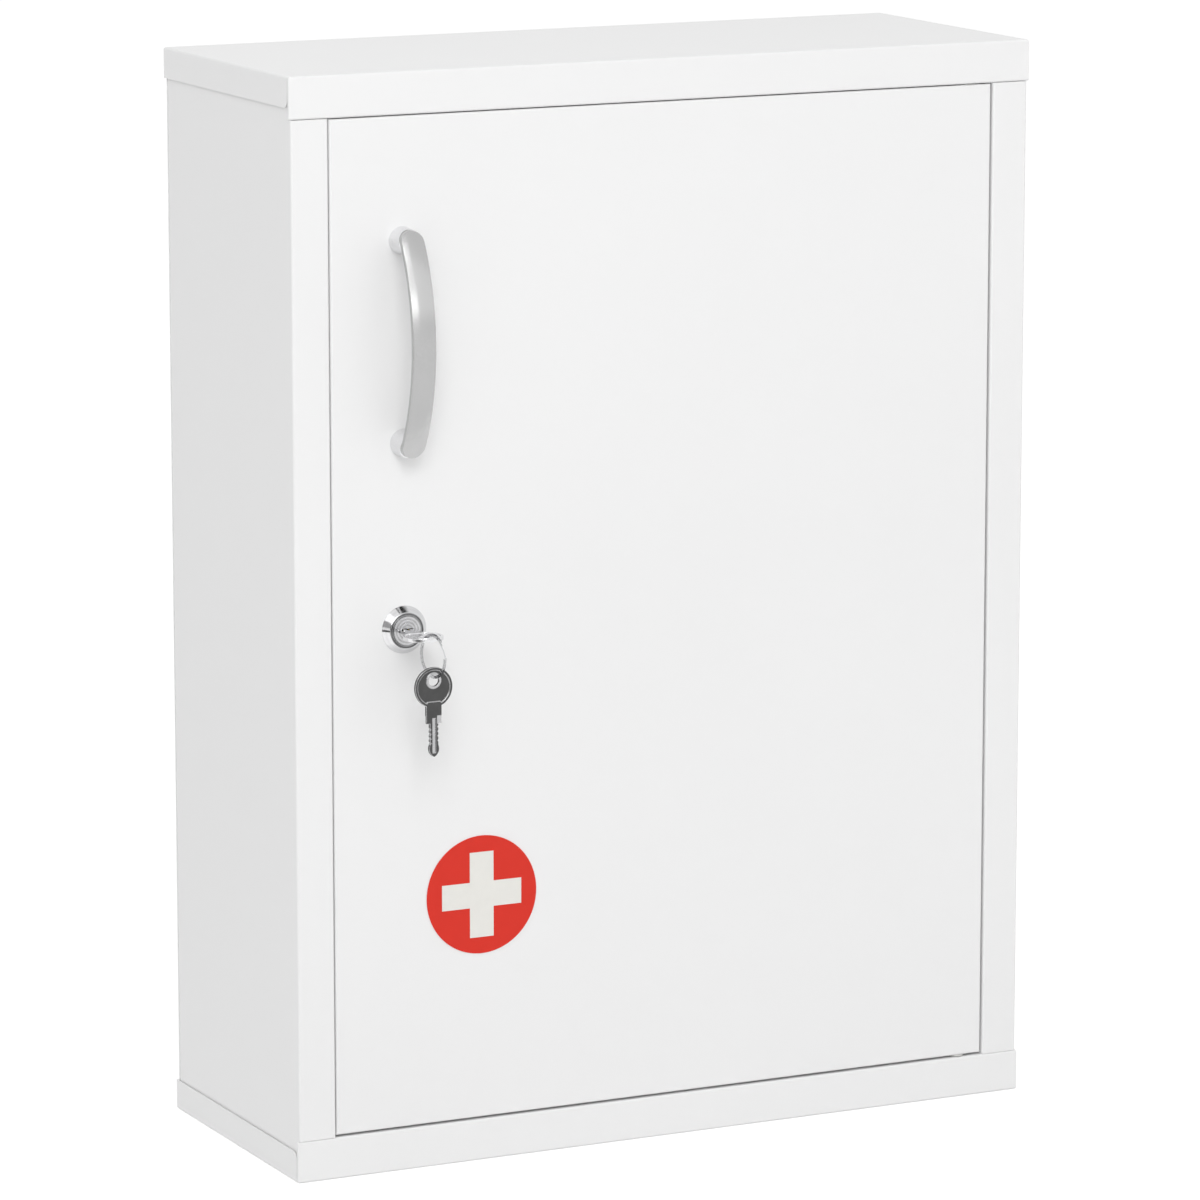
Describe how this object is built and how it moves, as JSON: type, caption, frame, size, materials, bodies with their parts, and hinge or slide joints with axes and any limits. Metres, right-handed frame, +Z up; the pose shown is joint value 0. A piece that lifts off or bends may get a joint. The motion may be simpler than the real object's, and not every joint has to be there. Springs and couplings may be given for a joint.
{
  "type": "lockable medicine cabinet",
  "caption": "Wall-hung folded steel medicine cabinet with a hinged door, bow handle, cam lock with keys on a ring, and adjustable shelves.",
  "frame": {"origin": "centre of the cabinet's footprint on the underside of the bottom cap", "axes": "+X to the right seen from the front, +Y towards the wall, +Z up; the door faces -Y"},
  "size_m": [0.394, 0.1938, 0.53],
  "materials": {
    "white_powder_coat": "smooth semi-gloss white powder coat on sheet steel",
    "satin_steel": "satin nickel plating",
    "bright_chrome": "bright chrome plating",
    "zinc_steel": "bright zinc plating",
    "nickel_key": "nickel plated key",
    "dark_key": "dull dark nickel plating",
    "brass": "bare stamped brass",
    "nylon": "natural nylon",
    "rubber": "soft black rubber",
    "red_vinyl": "red self-adhesive vinyl",
    "white_vinyl": "off-white self-adhesive vinyl"
  },
  "bodies": {
    "cabinet": {"top_cap": "white_powder_coat", "bottom_cap": "white_powder_coat", "left_side_panel": "white_powder_coat", "right_side_panel": "white_powder_coat", "back_panel": "white_powder_coat", "back_rivets": "zinc_steel", "shelf_strips": "white_powder_coat", "shelf_clips": "zinc_steel", "upper_shelf": "white_powder_coat", "lower_shelf": "white_powder_coat", "door_bumpers": "rubber", "upper_hinge_pin": "zinc_steel", "lower_hinge_pin": "zinc_steel"},
    "door": {"door_panel": "white_powder_coat", "door_stiffener": "white_powder_coat", "upper_hinge_bush": "nylon", "lower_hinge_bush": "nylon", "handle_strap": "satin_steel", "handle_feet": "satin_steel", "handle_screws": "zinc_steel", "handle_washers": "zinc_steel", "sign_disc": "red_vinyl", "sign_cross": "white_vinyl", "lock_housing": "bright_chrome", "lock_nut": "zinc_steel"},
    "lock_barrel": {"lock_plug": "bright_chrome", "lock_wafers": "brass", "lock_cam": "zinc_steel", "cam_screw": "zinc_steel"},
    "key": {"key": "nickel_key"},
    "key_ring": {"key_ring": "bright_chrome"},
    "spare_key": {"spare_key": "dark_key"}
  },
  "joints": [
    {"name": "door_hinge", "type": "hinge", "parent": "cabinet", "child": "door", "pos_m": [0.1639, -0.0715, 0.265], "axis": [0, 0, 1], "range_deg": [0, 120]},
    {"name": "lock_turn", "type": "hinge", "parent": "door", "child": "lock_barrel", "pos_m": [-0.14, -0.076, 0.265], "axis": [0, 1, 0], "range_deg": [0, 90]},
    {"name": "key_slide", "type": "slide", "parent": "lock_barrel", "child": "key", "axis": [0, -1, 0], "range_m": [0, 0.018]},
    {"name": "ring_swing", "type": "hinge", "parent": "key", "child": "key_ring", "pos_m": [-0.13931, -0.09957, 0.26416], "axis": [0.459, 0.7607, -0.459], "range_deg": [-106, 0]},
    {"name": "spare_key_swing", "type": "hinge", "parent": "key_ring", "child": "spare_key", "pos_m": [-0.13911, -0.10714, 0.24761], "axis": [0.1495, -0.9888, 0], "range_deg": [-30, 30]}
  ],
  "couplings": [
    {"joint": "ring_swing", "follows": "lock_turn", "ratio": -1.172}
  ]
}
